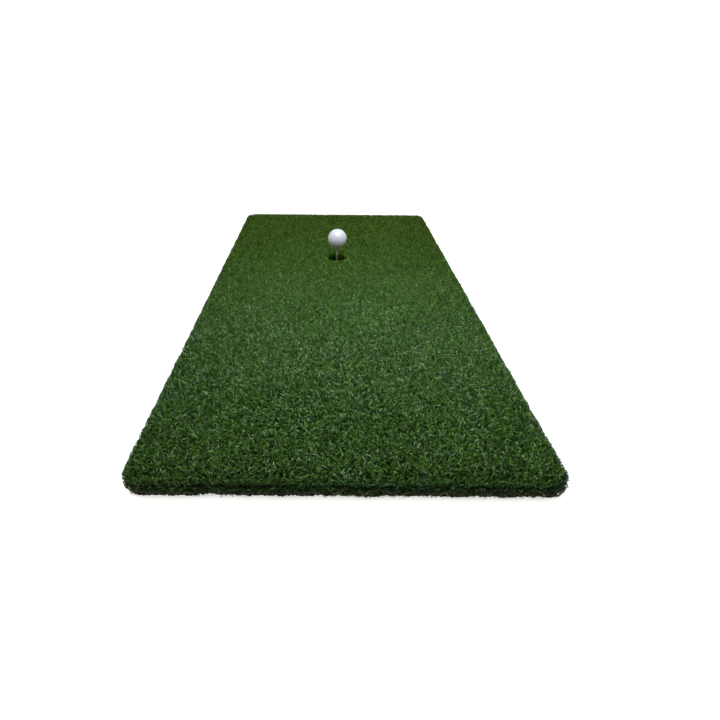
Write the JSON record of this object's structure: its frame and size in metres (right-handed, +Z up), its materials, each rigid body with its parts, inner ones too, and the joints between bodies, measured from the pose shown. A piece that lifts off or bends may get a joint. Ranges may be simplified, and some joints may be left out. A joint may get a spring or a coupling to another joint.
{
  "type": "golf hitting mat",
  "caption": "Rectangular artificial-turf hitting mat with a foam and rubber base, a tee hole with a rubber tee holder, and a ball on a wooden tee.",
  "frame": {"origin": "on the floor, under the middle of the mat", "axes": "+Y along the mat's length, towards the end with the tee hole; +X across the mat; +Z up"},
  "size_m": [0.5162, 1.0242, 0.0956],
  "materials": {
    "base_rubber": "matt, fine moulded grip texture",
    "foam": "matt closed-cell foam, fine pores on the cut edge",
    "latex_coat": "matt latex, slightly uneven",
    "woven_backing": "plain weave of flat black tapes",
    "turf_yarn": "dense curled green turf fibres, slightly glossy",
    "holder_rubber": "satin moulded rubber",
    "tee_wood": "plain turned birch, lightly waxed",
    "ball_core_rubber": "matt moulded rubber",
    "ball_cover_plastic": "white clear-coated cover with dimples"
  },
  "bodies": {
    "mat": {"base_sheet": "base_rubber", "foam_pad": "foam", "backing_coat": "latex_coat", "primary_backing": "woven_backing", "turf_pile": "turf_yarn", "tee_holder": "holder_rubber"},
    "tee": {"tee": "tee_wood"},
    "ball": {"ball_core": "ball_core_rubber", "ball_cover": "ball_cover_plastic"}
  },
  "joints": [
    {"name": "tee_lift", "type": "slide", "parent": "mat", "child": "tee", "axis": [0, 0, 1], "range_m": [0, 0.06]},
    {"name": "ball_lift", "type": "slide", "parent": "tee", "child": "ball", "axis": [0, 0, 1], "range_m": [0, 0.05]}
  ]
}
